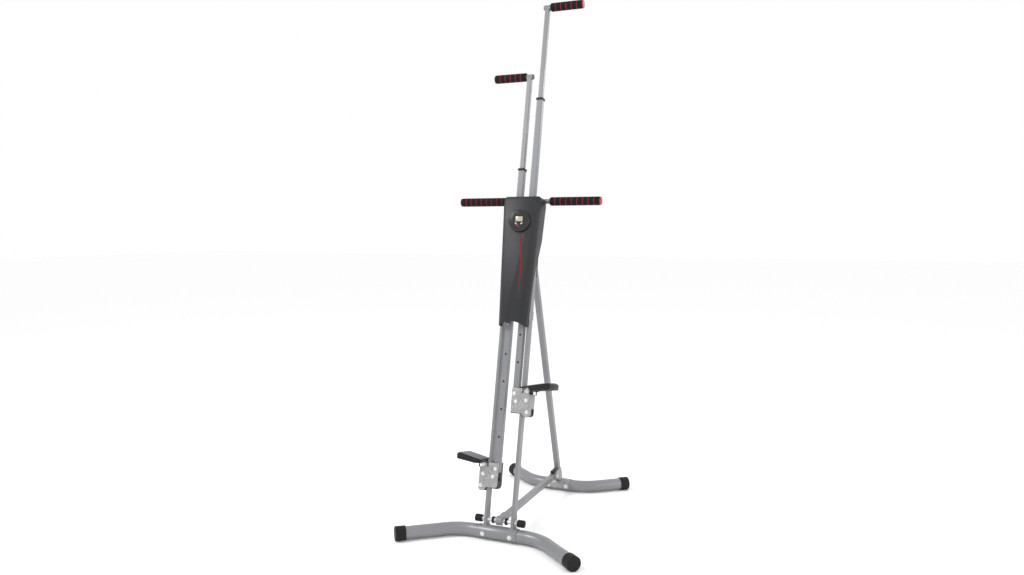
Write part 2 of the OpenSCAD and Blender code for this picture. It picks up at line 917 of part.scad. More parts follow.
// Two cheeks and a saddle join the leg, the brace's hinge and the rear foot
module rear_bracket() {
    cheek = leg_w / 2 + 0.2;
    color(zinc) difference() {
        union() {
            at_rear_foot() foot_saddle(56);
            for (side = [-1, 1]) on_side(side) panel_x(cheek, cheek + plate_t) polygon([
                [brace_y - 14, brace_z - 12], [brace_y - 14, brace_z + 10],
                [brace_y + 4, brace_z + 20], [brace_y + 42, brace_z + 25],
                [brace_y + 61, brace_z + 22], [rear_y + 6, foot_z + foot_r],
                [rear_y - 12, foot_z + 21], [brace_y + 8, brace_z - 18]
            ]);
        }
        at_rear_foot() rod_x(foot_r + run_fit, -100, 100);
        at_rear_foot() foot_bolt_holes(rear_bolt_x);
        translate([0, brace_y, brace_z]) rod_x(4.05, -40, 40);
        translate([0, brace_y + clamp_dy, brace_z + clamp_dz]) rod_x(3.1, -40, 40);
    }
}

// The brace's hinge bolt and the screw that clamps the leg between the cheeks
module brace_bolt() {
    edge = leg_w / 2 + 0.2 + plate_t;
    color(zinc) {
        translate([0, brace_y, brace_z]) {
            rod_x(4, -edge - 1, edge + 1);
            for (side = [-1, 1]) on_side(side) translate([edge, 0, 0]) rod_x(7.5, 0.05, 5);
        }
        translate([0, brace_y + clamp_dy, brace_z + clamp_dz]) for (side = [-1, 1]) on_side(side) {
            rod_x(3, leg_w / 2, edge + 1);
            translate([edge, 0, 0]) rod_x(6, 0.05, 4.5);
        }
    }
}

hook_slot = 59;

// The brace ends in a jaw of two plates that hooks over the axle from above
module brace() {
    color(steel) on_brace() difference() {
        union() {
            rotate([90, 0, 0]) box_tube(brace_w, brace_h, 2.5, 16, brace_len - 24);
            block(-brace_w / 2, brace_w / 2, -30, 0, -brace_h / 2, brace_h / 2);
            rod_x(brace_h / 2, -brace_w / 2, brace_w / 2);
            for (side = [-1, 1]) on_side(side) panel_x(brace_w / 2 - 0.5, brace_w / 2 + 2.5) {
                translate([-brace_len, 0]) circle(r = 17);
                translate([-brace_len, -1]) square([60, 13.5]);
                translate([-brace_len + 26, -brace_h / 2]) square([34, brace_h]);
            }
            translate([0, -brace_len, 0]) rod_x(17, -brace_w / 2, brace_w / 2);
            block(-brace_w / 2, brace_w / 2, -brace_len, -brace_len + 30, 0, 12.5);
        }
        rod_x(4.05, -20, 20);
        translate([0, -brace_len, 0]) {
            rod_x(axle_r + 0.4, -20, 20);
            rotate([-hook_slot - brace_tilt, 0, 0]) block(-20, 20, 0, 40, -axle_r - 0.8, axle_r + 2);
        }
        // room for the lock pin
        translate([0, -14, 0]) cylinder(r = 3.3, h = 30);
    }
}

// A pull knob on top of the brace's hinged end
module lock_knob() {
    color(black) on_brace() translate([0, -14, 0]) {
        cylinder(r = 3, h = brace_h / 2 + 4);
        translate([0, 0, brace_h / 2 + 0.4]) cylinder(r = 6, h = 5);
        translate([0, 0, brace_h / 2 + 5]) cylinder(r = 10, h = 9);
    }
}

front_foot();
front_foot_caps();
front_saddle();
front_foot_bolts();
left_rail();
right_rail();
bottom_axle();
axle_bumpers();
axle_rings();
top_bracket();
lower_guide();
guide_bushes();
cross_handlebar();
handlebar_grips();
grip_end_plugs();
console_cover();
console_back();
console_screws();
timer_pod();
timer_display();
timer_button();
pulley();
rope_bend();
left_rope();
right_rope();
pulley_pin();
leg_pivot_bolt();
left_climbing_tube();
left_carriage();
left_glide_pads();
left_carriage_bolts();
left_collar();
left_outer_roller();
left_inner_roller();
left_pedal();
left_handle_post();
left_handle_grip();
right_climbing_tube();
right_carriage();
right_glide_pads();
right_carriage_bolts();
right_collar();
right_outer_roller();
right_inner_roller();
right_pedal();
right_handle_post();
right_handle_grip();
rear_leg();
rear_foot();
rear_foot_caps();
rear_bracket();
rear_foot_bolts();
brace();
brace_bolt();
lock_knob();
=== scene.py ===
"""An upright climbing machine, finished over its frame: foam grips with red rings, a
moulded console with a round timer, studded pedals, zinc-plated carriages and powder-coated
tubes. Every part takes its place from the frame's boxes and joints."""
import json
import math

import bmesh
import bpy
from mathutils import Matrix, Vector


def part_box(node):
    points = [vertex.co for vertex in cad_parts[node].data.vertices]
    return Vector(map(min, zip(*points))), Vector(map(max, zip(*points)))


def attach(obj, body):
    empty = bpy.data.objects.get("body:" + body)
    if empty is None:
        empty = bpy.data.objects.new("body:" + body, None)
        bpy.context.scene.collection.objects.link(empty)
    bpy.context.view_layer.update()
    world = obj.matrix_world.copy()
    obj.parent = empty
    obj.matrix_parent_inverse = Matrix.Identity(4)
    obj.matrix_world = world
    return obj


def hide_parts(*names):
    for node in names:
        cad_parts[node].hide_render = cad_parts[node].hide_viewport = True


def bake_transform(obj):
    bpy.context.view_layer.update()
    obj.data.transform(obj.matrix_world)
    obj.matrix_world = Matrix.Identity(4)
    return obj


bl_info = {
    "name": "Climbing Machine",
    "version": (1, 0, 0),
    "blender": (4, 5, 0),
    "location": "3D View > Sidebar > Climber",
    "description": "Builds the finished parts of an upright climbing machine",
    "category": "Add Mesh",
}

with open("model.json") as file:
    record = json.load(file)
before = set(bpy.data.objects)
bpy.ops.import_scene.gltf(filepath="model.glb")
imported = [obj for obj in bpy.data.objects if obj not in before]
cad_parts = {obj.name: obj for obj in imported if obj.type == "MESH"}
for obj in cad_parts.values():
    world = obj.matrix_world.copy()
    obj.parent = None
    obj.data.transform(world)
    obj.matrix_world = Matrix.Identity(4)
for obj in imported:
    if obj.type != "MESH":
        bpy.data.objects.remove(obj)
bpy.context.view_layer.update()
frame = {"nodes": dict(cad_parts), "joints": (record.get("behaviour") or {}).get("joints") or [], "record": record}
JOINTS = {joint["name"]: joint for joint in frame["joints"]}
ACROSS = Vector((1, 0, 0))
ALONG = Vector(JOINTS["left_climb"]["axis"])
BACK = Vector(JOINTS["pulley_spin"]["axis"])

# All sizes are in metres. A turned piece stops AXIS_RADIUS short of its axis.
AXIS_RADIUS = 0.0001
BAR_BORE = 0.01005
HANDLE_BORE = 0.01115
PLUG_LENGTH = 0.0040
STOPPER_RADIUS = 0.0093
STOPPER_LENGTH = 0.012
SOFT_EDGE = 0.001
SMALL_EDGE = 0.0008
FINE_EDGE = 0.0004
TREAD_WIDTH = 0.089
TREAD_MARGIN = 0.004
POD_HALF_DEPTH = 0.0045
PRINT_LIFT = 0.0003
STREAK_TOP = -0.048
STREAK_LENGTH = 0.235
STREAK_HALF_WIDTH = 0.0032
BEZEL_RADIUS = 0.0375
ROPE_RADIUS = 0.002
GROOVE_RADIUS = 0.027


# ---- Places ----

def mast_matrix(place):
    """The mast's own axes at a place: x across, y to the rear, z along the mast."""
    matrix = Matrix((ACROSS, BACK, ALONG)).transposed().to_4x4()
    matrix.translation = Vector(place)
    return matrix


def middle(node):
    low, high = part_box(node)
    return (Vector(low) + Vector(high)) / 2


def mast_middle(node):
    """The middle of a part that leans with the mast, taken along the mast's own axes."""
    place = Vector((0, 0, 0))
    for axis in (ACROSS, BACK, ALONG):
        reach = [axis.dot(vertex.co) for vertex in frame["nodes"][node].data.vertices]
        place += axis * (min(reach) + max(reach)) / 2
    return place


# ---- Mesh helpers ----

def new_object(name, mesh):
    piece = bpy.data.objects.new(name, mesh)
    bpy.context.scene.collection.objects.link(piece)
    return piece


def smooth(mesh, degrees=32):
    mesh.shade_smooth()
    mesh.set_sharp_from_angle(angle=math.radians(degrees))


def finish_piece(piece, body, material, slot, *nodes):
    """Gives a piece its material, its body and the nodes that it stands for."""
    piece.data.materials.clear()
    piece.data.materials.append(material)
    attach(piece, body)
    if nodes:
        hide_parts(*nodes)
    return piece


def body_of(node):
    for body, members in frame["record"]["behaviour"]["bodies"].items():
        if node in members:
            return body
    raise RuntimeError(f"no body holds {node}")


def slot_of(node):
    for entry in frame["record"]["subparts"]:
        if entry["node"] == node:
            return entry["material_slot"]
    raise RuntimeError(f"no slot for {node}")


def evaluated(piece):
    """Replaces an object's mesh with its evaluated one, and takes its modifiers off."""
    graph = bpy.context.evaluated_depsgraph_get()
    mesh = bpy.data.meshes.new_from_object(piece.evaluated_get(graph))
    piece.modifiers.clear()
    piece.data = mesh
    return mesh


def rounded(node, radius, material, segments=2):
    """A copy of a frame part with its sharp edges rounded, which takes the part's place."""
    mesh = frame["nodes"][node].data.copy()
    work = bmesh.new()
    work.from_mesh(mesh)
    bmesh.ops.remove_doubles(work, verts=work.verts, dist=1e-6)
    bmesh.ops.dissolve_limit(work, angle_limit=math.radians(0.4), verts=work.verts, edges=work.edges)
    work.to_mesh(mesh)
    work.free()
    piece = new_object(node + "_finished", mesh)
    bevel = piece.modifiers.new("Rounded edges", "BEVEL")
    bevel.width = radius
    bevel.segments = segments
    bevel.limit_method = "ANGLE"
    bevel.angle_limit = math.radians(40)
    smooth(evaluated(piece))
    return finish_piece(piece, body_of(node), material, slot_of(node), node)


def paint(node, material):
    """Keeps a frame part as it is and gives it a material."""
    part = frame["nodes"][node]
    part.data.materials.clear()
    part.data.materials.append(material)
    return part


def lathe_x(profile, steps=48):
    """A closed solid turned about X; profile holds (x, radius) round the section."""
    work = bmesh.new()
    rings = []
    for x, radius in profile:
        ring = []
        for step in range(steps):
            turn = 2 * math.pi * step / steps
            ring.append(work.verts.new((x, radius * math.cos(turn), radius * math.sin(turn))))
        rings.append(ring)
    for first, second in zip(rings, rings[1:] + rings[:1]):
        for step in range(steps):
            after = (step + 1) % steps
            work.faces.new((first[step], first[after], second[after], second[step]))
    bmesh.ops.recalc_face_normals(work, faces=work.faces)
    mesh = bpy.data.meshes.new("turned")
    work.to_mesh(mesh)
    work.free()
    return mesh


def joined(name, meshes):
    """One object from several meshes."""
    work = bmesh.new()
    for mesh in meshes:
        work.from_mesh(mesh)
    mesh = bpy.data.meshes.new(name)
    work.to_mesh(mesh)
    work.free()
    return new_object(name, mesh)


def prism(outline, low, high):
    """A plate: an outline in x and z, extruded along y from low to high."""
    work = bmesh.new()
    front = [work.verts.new((x, low, z)) for x, z in outline]
    rear = [work.verts.new((x, high, z)) for x, z in outline]
    work.faces.new(front)
    work.faces.new(rear[::-1])
    for index in range(len(outline)):
        after = (index + 1) % len(outline)
        work.faces.new((front[index], rear[index], rear[after], front[after]))
    bmesh.ops.recalc_face_normals(work, faces=work.faces)
    mesh = bpy.data.meshes.new("plate")
    work.to_mesh(mesh)
    work.free()
    return mesh


# ---- Geometry node trees ----

def node_tree(name, inputs):
    """A geometry tree with named inputs; returns the tree, its input node and its output node."""
    tree = bpy.data.node_groups.new(name, "GeometryNodeTree")
    for label, kind, default in inputs:
        socket = tree.interface.new_socket(label, in_out="INPUT", socket_type=kind)
        if default is not None:
            socket.default_value = default
    tree.interface.new_socket("Geometry", in_out="OUTPUT", socket_type="NodeSocketGeometry")
    return tree, tree.nodes.new("NodeGroupInput"), tree.nodes.new("NodeGroupOutput")


def end_tree(tree, given, out, points, shape, rotation):
    """Puts the shape on the points, realises it and sets the material."""
    link = tree.links.new
    place = tree.nodes.new("GeometryNodeInstanceOnPoints")
    place.inputs["Rotation"].default_value = rotation
    real = tree.nodes.new("GeometryNodeRealizeInstances")
    coat = tree.nodes.new("GeometryNodeSetMaterial")
    link(points, place.inputs["Points"])
    link(shape, place.inputs["Instance"])
    link(place.outputs["Instances"], real.inputs["Geometry"])
    link(real.outputs["Geometry"], coat.inputs["Geometry"])
    link(given.outputs["Material"], coat.inputs["Material"])
    link(coat.outputs["Geometry"], out.inputs["Geometry"])
    return tree


def stud_tree():
    """A grid of four-sided studs."""
    tree, given, out = node_tree("Studs", [
        ("Length", "NodeSocketFloat", 0.08), ("Width", "NodeSocketFloat", 0.08),
        ("Columns", "NodeSocketInt", 9), ("Rows", "NodeSocketInt", 10),
        ("Stud Size", "NodeSocketFloat", 0.004), ("Stud Height", "NodeSocketFloat", 0.003),
        ("Material", "NodeSocketMaterial", None),
    ])
    link = tree.links.new
    grid = tree.nodes.new("GeometryNodeMeshGrid")
    for label, socket in (("Length", "Size X"), ("Width", "Size Y"),
                          ("Columns", "Vertices X"), ("Rows", "Vertices Y")):
        link(given.outputs[label], grid.inputs[socket])
    cone = tree.nodes.new("GeometryNodeMeshCone")
    cone.inputs["Vertices"].default_value = 4
    half = tree.nodes.new("ShaderNodeMath")
    half.operation = "MULTIPLY"
    half.inputs[1].default_value = 0.4
    link(given.outputs["Stud Size"], half.inputs[0])
    link(half.outputs[0], cone.inputs["Radius Top"])
    link(given.outputs["Stud Size"], cone.inputs["Radius Bottom"])
    link(given.outputs["Stud Height"], cone.inputs["Depth"])
    return end_tree(tree, given, out, grid.outputs["Mesh"], cone.outputs["Mesh"],
                    (0, 0, math.radians(45)))


def ring_tree():
    """Rings in a row along X."""
    tree, given, out = node_tree("Rings", [
        ("First", "NodeSocketFloat", 0), ("Step", "NodeSocketFloat", 0.025),
        ("Count", "NodeSocketInt", 5), ("Ring Radius", "NodeSocketFloat", 0.015),
        ("Ring Thickness", "NodeSocketFloat", 0.0025), ("Material", "NodeSocketMaterial", None),
    ])
    link = tree.links.new
    row = tree.nodes.new("GeometryNodeMeshLine")
    first = tree.nodes.new("ShaderNodeCombineXYZ")
    step = tree.nodes.new("ShaderNodeCombineXYZ")
    link(given.outputs["First"], first.inputs[0])
    link(given.outputs["Step"], step.inputs[0])
    link(given.outputs["Count"], row.inputs["Count"])
    link(first.outputs[0], row.inputs["Start Location"])
    link(step.outputs[0], row.inputs["Offset"])
    hoop = tree.nodes.new("GeometryNodeCurvePrimitiveCircle")
    hoop.inputs["Resolution"].default_value = 40
    section = tree.nodes.new("GeometryNodeCurvePrimitiveCircle")
    section.inputs["Resolution"].default_value = 10
    link(given.outputs["Ring Radius"], hoop.inputs["Radius"])
    link(given.outputs["Ring Thickness"], section.inputs["Radius"])
    sweep = tree.nodes.new("GeometryNodeCurveToMesh")
    link(hoop.outputs["Curve"], sweep.inputs["Curve"])
    link(section.outputs["Curve"], sweep.inputs["Profile Curve"])
    return end_tree(tree, given, out, row.outputs["Mesh"], sweep.outputs["Mesh"],
                    (0, math.radians(90), 0))


def grown(name, tree, values, matrix):
    """A mesh made by a geometry tree with these input values, moved by matrix."""
    seed = bpy.data.meshes.new(name)
    piece = new_object(name, seed)
    modifier = piece.modifiers.new("Make", "NODES")
    modifier.node_group = tree
    for item in tree.interface.items_tree:
        if item.in_out == "INPUT" and item.name in values:
            modifier[item.identifier] = values[item.name]
    mesh = evaluated(piece)
    mesh.transform(matrix)
    if matrix.determinant() < 0:
        mesh.flip_normals()
    smooth(mesh, 30)
    return piece


# ---- Shader groups ----

def shader_group(name, inputs, outputs):
    group = bpy.data.node_groups.new(name, "ShaderNodeTree")
    for label, kind, default in inputs:
        group.interface.new_socket(label, in_out="INPUT", socket_type=kind).default_value = default
    for label, kind in outputs:
        group.interface.new_socket(label, in_out="OUTPUT", socket_type=kind)
    return group, group.nodes.new("NodeGroupInput"), group.nodes.new("NodeGroupOutput")


def noise(group, scale_from, detail=3.0):
    """A noise texture on object coordinates, whose scale comes from a socket."""
    place = group.nodes.new("ShaderNodeTexCoord")
    cloud = group.nodes.new("ShaderNodeTexNoise")
    cloud.inputs["Detail"].default_value = detail
    group.links.new(place.outputs["Object"], cloud.inputs["Vector"])
    group.links.new(scale_from, cloud.inputs["Scale"])
    return cloud


def remap(group, value, low, high):
    """Maps 0.3..0.7 of a value to low..high, each a number or a socket."""
    node = group.nodes.new("ShaderNodeMapRange")
    node.inputs["From Min"].default_value = 0.3
    node.inputs["From Max"].default_value = 0.7
    group.links.new(value, node.inputs["Value"])
    for label, bound in (("To Min", low), ("To Max", high)):
        if isinstance(bound, (int, float)):
            node.inputs[label].default_value = bound
        else:
            group.links.new(bound, node.inputs[label])
    return node.outputs["Result"]


def blend_colour(group, mask, first, second):
    node = group.nodes.new("ShaderNodeMix")
    node.data_type = "RGBA"
    group.links.new(mask, node.inputs["Factor"])
    group.links.new(first, node.inputs[6])
    group.links.new(second, node.inputs[7])
    return node.outputs[2]


def surface_grain_group():
    """Fine orange peel or mould grain, with slow drifts of colour and roughness."""
    group, given, out = shader_group("Surface grain", [
        ("Colour", "NodeSocketColor", (0.5, 0.5, 0.5, 1)),
        ("Drift Colour", "NodeSocketColor", (0.45, 0.45, 0.45, 1)),
        ("Grain Scale", "NodeSocketFloat", 600), ("Drift Scale", "NodeSocketFloat", 9),
        ("Roughness Low", "NodeSocketFloat", 0.35), ("Roughness High", "NodeSocketFloat", 0.5),
    ], [("Colour", "NodeSocketColor"), ("Roughness", "NodeSocketFloat"), ("Height", "NodeSocketFloat")])
    grain = noise(group, given.outputs["Grain Scale"])
    drift = noise(group, given.outputs["Drift Scale"], 5)
    mask = remap(group, drift.outputs["Fac"], 0.0, 1.0)
    group.links.new(blend_colour(group, mask, given.outputs["Colour"], given.outputs["Drift Colour"]),
                    out.inputs["Colour"])
    group.links.new(remap(group, drift.outputs["Fac"], given.outputs["Roughness Low"],
                          given.outputs["Roughness High"]), out.inputs["Roughness"])
    group.links.new(grain.outputs["Fac"], out.inputs["Height"])
    return group


def spangle_group():
    """The crystal spangle of zinc plate: cells of different brightness."""
    group, given, out = shader_group("Zinc spangle", [
        ("Colour", "NodeSocketColor", (0.7, 0.7, 0.7, 1)),
        ("Dark Colour", "NodeSocketColor", (0.4, 0.4, 0.4, 1)),
        ("Cell Scale", "NodeSocketFloat", 300),
    ], [("Colour", "NodeSocketColor"), ("Roughness", "NodeSocketFloat"), ("Height", "NodeSocketFloat")])
    place = group.nodes.new("ShaderNodeTexCoord")
    cells = group.nodes.new("ShaderNodeTexVoronoi")
    group.links.new(place.outputs["Object"], cells.inputs["Vector"])
    group.links.new(given.outputs["Cell Scale"], cells.inputs["Scale"])
    split = group.nodes.new("ShaderNodeSeparateColor")
    group.links.new(cells.outputs["Color"], split.inputs["Color"])
    mask = split.outputs["Red"]
    group.links.new(blend_colour(group, mask, given.outputs["Dark Colour"], given.outputs["Colour"]),
                    out.inputs["Colour"])
    group.links.new(remap(group, mask, 0.32, 0.55), out.inputs["Roughness"])
    group.links.new(cells.outputs["Distance"], out.inputs["Height"])
    return group


GROUPS = {}


def shared(name):
    """A shader group, built once."""
    if name not in GROUPS:
        GROUPS[name] = {"grain": surface_grain_group, "spangle": spangle_group}[name]()
    return GROUPS[name]


def material(name, group_name, values, metallic=0.0, bump=0.1, distance=0.0002, coat=0.0, gloss=0.5):
    """A material whose colour, roughness and bump come from a shared group."""
    made = bpy.data.materials.new(name)
    made.use_nodes = True
    nodes = made.node_tree.nodes
    link = made.node_tree.links.new
    shader = nodes["Principled BSDF"]
    shader.inputs["Metallic"].default_value = metallic
    shader.inputs["Coat Weight"].default_value = coat
    shader.inputs["Specular IOR Level"].default_value = gloss
    shader.inputs["Coat Roughness"].default_value = 0.15
    surface = nodes.new("ShaderNodeGroup")
    surface.node_tree = shared(group_name)
    for label, value in values.items():
        surface.inputs[label].default_value = value
    relief = nodes.new("ShaderNodeBump")
    relief.inputs["Strength"].default_value = bump
    relief.inputs["Distance"].default_value = distance
    link(surface.outputs["Colour"], shader.inputs["Base Color"])
    link(surface.outputs["Roughness"], shader.inputs["Roughness"])
    link(surface.outputs["Height"], relief.inputs["Height"])
    link(relief.outputs["Normal"], shader.inputs["Normal"])
    made.diffuse_color = values["Colour"]
    return made


def shade(colour, factor):
    return tuple(min(1.0, part * factor) for part in colour[:3]) + (1.0,)


MATERIALS = {}


def make_materials(colours):
    """All the finishes of the machine, each from the colours that the panel shows."""
    def grained(name, colour, low, high, grain, factor=0.88, **rest):
        MATERIALS[name] = material(name, "grain", {
            "Colour": shade(colour, 1), "Drift Colour": shade(colour, factor),
            "Roughness Low": low, "Roughness High": high, "Grain Scale": grain,
        }, **rest)

    def spangled(name, colour, factor, cells, **rest):
        MATERIALS[name] = material(name, "spangle", {
            "Colour": shade(colour, 1), "Dark Colour": shade(colour, factor), "Cell Scale": cells,
        }, **rest)

    grained("powder_coat", colours.tube_paint, 0.30, 0.42, 900, metallic=0.25, bump=0.12, coat=0.1)
    grained("light_powder_coat", colours.post_paint, 0.32, 0.44, 900, metallic=0.3, bump=0.1)
    spangled("zinc_plate", colours.zinc, 0.55, 330, metallic=0.35, bump=0.08)
    spangled("bright_zinc", colours.bolt_zinc, 0.7, 700, metallic=0.5, bump=0.03)
    grained("cap_rubber", colours.rubber, 0.5, 0.7, 700, factor=1.6, bump=0.25, gloss=0.22)
    grained("black_nylon", colours.nylon, 0.35, 0.55, 800, factor=1.5, bump=0.2, gloss=0.25)
    # The tread studs take the black nylon painted 16 times lighter: a painted highlight on the stud tips.
    grained("tread_nylon_painted_highlight", shade(colours.nylon, 16), 0.4, 0.6, 800, factor=1.8, bump=0.2, gloss=0.4)
    grained("grip_foam", colours.foam, 0.75, 0.95, 1500, factor=1.5, bump=0.6, distance=0.0004,
            gloss=0.15)
    grained("ring_red", colours.ring_red, 0.5, 0.65, 1500, factor=0.7, bump=0.3, gloss=0.2)
    grained("plug_red", colours.plug_red, 0.3, 0.45, 500, bump=0.05, gloss=0.4)
    grained("console_plastic", colours.console, 0.40, 0.55, 1400, factor=1.25, bump=0.3, gloss=0.35)
    grained("pod_plastic", colours.pod, 0.14, 0.24, 300, factor=1.3, bump=0.01, coat=0.3, gloss=0.4)
    grained("lens", colours.lens, 0.2, 0.3, 300, factor=0.93, bump=0.01, coat=0.3)
    grained("mark_white", (0.62, 0.62, 0.62), 0.3, 0.4, 500, bump=0.02)
    grained("rope_braid", colours.nylon, 0.7, 0.9, 1100, factor=2.2, bump=0.8, distance=0.0006,
            gloss=0.2)


# ---- What the panel shows ----

def colour_property(label, text, value):
    return bpy.props.FloatVectorProperty(name=label, description=text, subtype="COLOR", size=3,
                                         min=0, max=1, default=value)


def length_property(label, text, value):
    return bpy.props.FloatProperty(name=label, description=text, unit="LENGTH", min=0, default=value)


class ClimberColours(bpy.types.PropertyGroup):
    tube_paint: colour_property("Tube paint", "Powder coat of the tubes", (0.225, 0.227, 0.240))
    post_paint: colour_property("Post paint", "Coat of the handle posts", (0.24, 0.24, 0.25))
    zinc: colour_property("Zinc plate", "Carriage plates and brackets", (0.40, 0.40, 0.405))
    bolt_zinc: colour_property("Bolt zinc", "Bolts and axle", (0.78, 0.78, 0.77))
    rubber: colour_property("Rubber", "Foot caps and bumpers", (0.007, 0.007, 0.0075))
    nylon: colour_property("Nylon", "Pedals, collars and rollers", (0.009, 0.009, 0.010))
    foam: colour_property("Foam", "Foam of the grips", (0.008, 0.008, 0.009))
    ring_red: colour_property("Ring red", "Rings of the grips", (0.21, 0.008, 0.018))
    plug_red: colour_property("Plug red", "Plugs of the grips", (0.36, 0.018, 0.040))
    console: colour_property("Console", "Console shell", (0.013, 0.0135, 0.0155))
    pod: colour_property("Timer", "Timer's shell", (0.006, 0.006, 0.007))
    lens: colour_property("Display", "Timer's display", (0.42, 0.39, 0.29))


class ClimberSizes(bpy.types.PropertyGroup):
    plate_edge: length_property("Plate edge", "Rounding of plate edges", 0.0005)
    moulded_edge: length_property("Moulded edge", "Rounding of moulded parts", 0.0015)
    console_edge: length_property("Console edge", "Rounding of the console's edges", 0.0024)
    stud: length_property("Stud", "Half diagonal of a tread stud", 0.0048)
    stud_height: length_property("Stud height", "Height of a tread stud", 0.0030)
    foam_radius: length_property("Foam radius", "Outer radius of the foam grips", 0.017)
    ring_thickness: length_property("Ring thickness", "Section radius of the red rings", 0.0026)
    bar_foam: length_property("Bar foam", "Length of a handlebar grip", 0.2075)
    handle_foam: length_property("Handle foam", "Length of a handle grip", 0.1365)
    segment: length_property("Foam segment", "Length of a foam segment between rings", 0.0235)


def sizes():
    return bpy.context.scene.climber_sizes


# ---- Grips ----

def foam_profile(first, last, count, inner, outer):
    """Section of a foam sleeve with a rounded groove between its segments."""
    step = (last - first) / count
    profile = [(first, inner)]
    for index in range(count):
        start = first + index * step
        for share, dip in ((0.0, 0.0035), (0.03, 0.0016), (0.09, 0.0005), (0.18, 0.0),
                           (0.5, -0.0002), (0.82, 0.0), (0.91, 0.0005), (0.97, 0.0016)):
            profile.append((start + share * step, outer - dip))
    profile.append((last, outer - 0.0035))
    profile.append((last, inner))
    return profile


def plug_profile(start, radius, direction):
    """Section of a domed plug that ends a grip."""
    points = [(0.0, AXIS_RADIUS), (0.0, radius), (0.0018, radius), (0.003, radius - 0.0008),
              (0.0036, radius - 0.0025), (0.0038, AXIS_RADIUS)]
    return [(start + direction * along, out) for along, out in points]


class Span:
    """One grip: from its inner end to its outer end along X, and its axis."""

    def __init__(self, inner_end, outer_end, centre, bore):
        self.inner_end = inner_end
        self.outer_end = outer_end
        self.place = Matrix.Translation((0, centre.y, centre.z))
        self.bore = bore
        self.count = max(2, round(abs(outer_end - inner_end) / sizes().segment))

    def foam(self):
        ends = sorted((self.inner_end, self.outer_end))
        mesh = lathe_x(foam_profile(*ends, self.count, self.bore, sizes().foam_radius))
        mesh.transform(self.place)
        return mesh

    def rings(self, name):
        step = (self.outer_end - self.inner_end) / self.count
        values = {
            "First": self.inner_end + step, "Step": step, "Count": self.count - 1,
            "Ring Radius": sizes().foam_radius - 0.0018,
            "Ring Thickness": sizes().ring_thickness, "Material": MATERIALS["ring_red"],
        }
        return grown(name, bpy.data.node_groups["Rings"], values, self.place)

    def plug(self):
        side = 1 if self.outer_end > self.inner_end else -1
        mesh = lathe_x(plug_profile(self.outer_end, sizes().foam_radius - 0.0006, side))
        mesh.transform(self.place)
        return mesh


def build_grips(name, body, spans, nodes, plug_nodes):
    foam = joined(name + "_foam", [span.foam() for span in spans])
    smooth(foam.data, 50)
    finish_piece(foam, body, MATERIALS["grip_foam"], "grip_foam", *nodes)
    rings = [span.rings(f"{name}_rings_{index}") for index, span in enumerate(spans)]
    for ring in rings:
        finish_piece(ring, body, MATERIALS["ring_red"], "red_plug")
    plug = joined(name + "_plugs", [span.plug() for span in spans])
    smooth(plug.data, 30)
    finish_piece(plug, body, MATERIALS["plug_red"], "red_plug", *plug_nodes)


class HandlebarGrips(bpy.types.Operator):
    """Foam sleeves, red rings and end plugs of the cross handlebar"""
    bl_idname = "climber.handlebar_grips"
    bl_label = "Handlebar grips"

    def execute(self, context):
        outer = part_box("handlebar_grips")[1][0]
        centre = middle("cross_handlebar")
        inner = outer - sizes().bar_foam
        spans = [Span(side * inner, side * outer, centre, BAR_BORE) for side in (-1, 1)]
        build_grips("handlebar_grip", "frame", spans, ["handlebar_grips"], ["grip_end_plugs"])
        return {"FINISHED"}


class HandleGrips(bpy.types.Operator):
    """Foam sleeves, red rings and end plugs of the two climbing handles"""
    bl_idname = "climber.handle_grips"
    bl_label = "Handle grips"

    def execute(self, context):
        for side, sign in (("left", -1), ("right", 1)):
            low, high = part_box(side + "_handle_grip")
            outer = max(abs(low[0]), abs(high[0])) - PLUG_LENGTH
            inner = outer - sizes().handle_foam
            centre = middle(side + "_handle_grip")
            spans = [Span(sign * inner, sign * outer, centre, HANDLE_BORE)]
            build_grips(side + "_grip", side + "_handle", spans, [side + "_handle_grip"], [])
            bar_end = min(abs(low[0]), abs(high[0]))
            stopper = lathe_x(self.stopper_profile(sign, bar_end))
            stopper.transform(spans[0].place)
            smooth(stopper)
            finish_piece(new_object(side + "_bar_stopper", stopper), side + "_handle",
                         MATERIALS["black_nylon"], "black_nylon")
        return {"FINISHED"}

    @staticmethod
    def stopper_profile(sign, start):
        """Section of the plug with a chamfer that closes a bar's inner end."""
        end = start + STOPPER_LENGTH
        points = [(start, AXIS_RADIUS), (start, STOPPER_RADIUS - 0.0005),
                  (start + 0.0006, STOPPER_RADIUS), (end, STOPPER_RADIUS), (end, AXIS_RADIUS)]
        return [(sign * along, radius) for along, radius in points]


# ---- Feet, mast and fasteners ----

class Feet(bpy.types.Operator):
    """Foot tubes, rubber caps, saddles and brackets"""
    bl_idname = "climber.feet"
    bl_label = "Feet"

    def execute(self, context):
        for node in ("front_foot", "rear_foot"):
            paint(node, MATERIALS["powder_coat"])
        for node in ("front_foot_caps", "rear_foot_caps"):
            rounded(node, sizes().moulded_edge, MATERIALS["cap_rubber"], 3)
        rounded("front_saddle", sizes().plate_edge, MATERIALS["powder_coat"])
        rounded("rear_bracket", sizes().plate_edge, MATERIALS["zinc_plate"])
        return {"FINISHED"}


